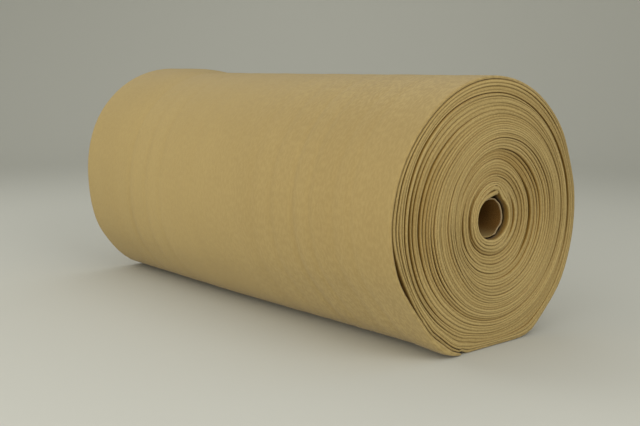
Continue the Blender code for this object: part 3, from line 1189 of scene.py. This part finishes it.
@dataclass(frozen=True)
class Studio:
    """The camera at the photograph's angle, soft lights and a seamless paper dish."""

    camera_place: tuple[float, float, float] = (0.7542, -0.6166, 0.2351)
    facing: float = 49.66
    down: float = 8.69
    roll: float = 0.287
    focal_length: float = 53.6
    sensor: float = 36.0
    sink: float = 0.25 * MM
    floor_radius: float = 1.45
    sweep: float = 0.75
    wall_height: float = 0.40
    sweep_steps: int = 14
    sides: int = 96
    sky: Colour = (0.80, 0.80, 0.76, 1.0)
    sky_strength: float = 0.725
    light_colour: tuple[float, float, float] = (1.0, 0.99, 0.97)
    lights: tuple[SoftLight, ...] = (
        SoftLight("face_fill", (1.15, -0.15, 0.75), (0.2, 0.0, 0.1), (0.8, 0.8), 4.5),
        SoftLight("front_left", (-0.9, -0.8, 0.9), (-0.05, 0.0, 0.1), (0.8, 0.8), 3.7),
        SoftLight("low_front", (0.3, -1.15, 0.26), (0.0, 0.0, 0.08), (1.1, 0.4), 2.9),
        SoftLight("low_long", (0.25, -1.0, 0.16), (0.05, 0.0, 0.04), (1.1, 0.25), 2.4),
        SoftLight("low_right", (1.15, -0.45, 0.35), (0.2, 0.0, 0.1), (0.8, 0.5), 0.9),
        SoftLight("back_top", (-0.6, 0.7, 1.5), (0.0, 0.0, 0.1), (1.0, 1.0), 1.5),
        SoftLight("backdrop_glow", (-0.9, 0.8, 0.95), (-1.75, 1.5, 0.5), (0.3, 0.3), 1.4),
    )

    def add_camera(self) -> None:
        """Add the camera and make it the scene's."""
        lens = bpy.data.cameras.new("camera")
        lens.lens = self.focal_length
        lens.sensor_width = self.sensor
        camera = bpy.data.objects.new("camera", lens)
        level = Euler((np.radians(90.0 - self.down), 0.0, np.radians(self.facing))).to_matrix()
        tilted = level @ Matrix.Rotation(np.radians(self.roll), 3, "Z")
        camera.matrix_world = Matrix.Translation(self.camera_place) @ tilted.to_4x4()
        bpy.context.scene.collection.objects.link(camera)
        bpy.context.scene.camera = camera

    def add_backdrop(self) -> None:
        """Spin the paper's profile into a dish with a flat floor and a curved wall."""
        made = bmesh.new()
        bend = np.linspace(0.0, np.pi / 2.0, self.sweep_steps)
        profile = [(0.0, 0.0)] + [(self.floor_radius + self.sweep * np.sin(turn), self.sweep * (1.0 - np.cos(turn)))
                                  for turn in bend]
        profile.append((self.floor_radius + self.sweep, self.sweep + self.wall_height))
        verts = [made.verts.new((out, 0.0, up - self.sink)) for out, up in profile]
        edges = [made.edges.new(pair) for pair in zip(verts, verts[1:])]
        bmesh.ops.spin(made, geom=verts + edges, cent=(0.0, 0.0, 0.0), axis=(0.0, 0.0, 1.0),
                       angle=2.0 * np.pi, steps=self.sides, use_merge=True)
        bmesh.ops.remove_doubles(made, verts=made.verts, dist=WELD)
        bmesh.ops.recalc_face_normals(made, faces=made.faces)
        bmesh.ops.reverse_faces(made, faces=made.faces)
        mesh = bpy.data.meshes.new("paper")
        made.to_mesh(mesh)
        made.free()
        mesh.shade_smooth()
        mesh.materials.append(PaperFinish().make())
        paper = bpy.data.objects.new("paper", mesh)
        bpy.context.scene.collection.objects.link(paper)

    def add_sky(self) -> None:
        """Give the world a soft even light."""
        world = bpy.data.worlds.new("soft_room")
        world.use_nodes = True
        ground = world.node_tree.nodes["Background"]
        ground.inputs["Color"].default_value = self.sky
        ground.inputs["Strength"].default_value = self.sky_strength
        bpy.context.scene.world = world

    def build(self) -> None:
        """Add the camera, the backdrop, the sky and the lights."""
        bpy.context.scene.view_settings.view_transform = "Standard"
        self.add_camera()
        self.add_backdrop()
        self.add_sky()
        for light in self.lights:
            light.add(self.light_colour)


def main() -> None:
    """Build the studio and the roll, and declare each piece to the frame."""
    logging.basicConfig(level=logging.INFO, format="%(message)s")
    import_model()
    Studio().build()
    axis = Axis.of_core()
    finish = KnitFinish()
    knit = finish.make()
    # The folded edges' copy of the knit, with painted shade between the turns and in open creases and a painted
    # highlight on the crests.
    folded_knit = replace(finish, name="khaki_rib_knit_folded", inner_share=0.85, rib_start=0.5,
                          slub_stretch=1.0, sheen=0.07).make()
    winding = Winding()

    near_turns = EndTurns(winding, End.NEAR, "near_turns").build(axis)
    wear(near_turns, folded_knit)
    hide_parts("wound_cloth")
    far_turns = EndTurns(winding, End.FAR, "far_turns").build(axis)
    wear(far_turns, folded_knit)
    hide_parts("wound_cloth")

    outer_turn = OuterTurn(winding, finish).build(axis)
    wear(outer_turn, knit)
    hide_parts("loose_end", "wound_cloth")

    core = CardCore()
    card_core = core.build(axis)
    wear(card_core, CardFinish(core.length / 2.0).make(axis))
    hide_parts("core_tube")


if __name__ == "__main__":
    main()
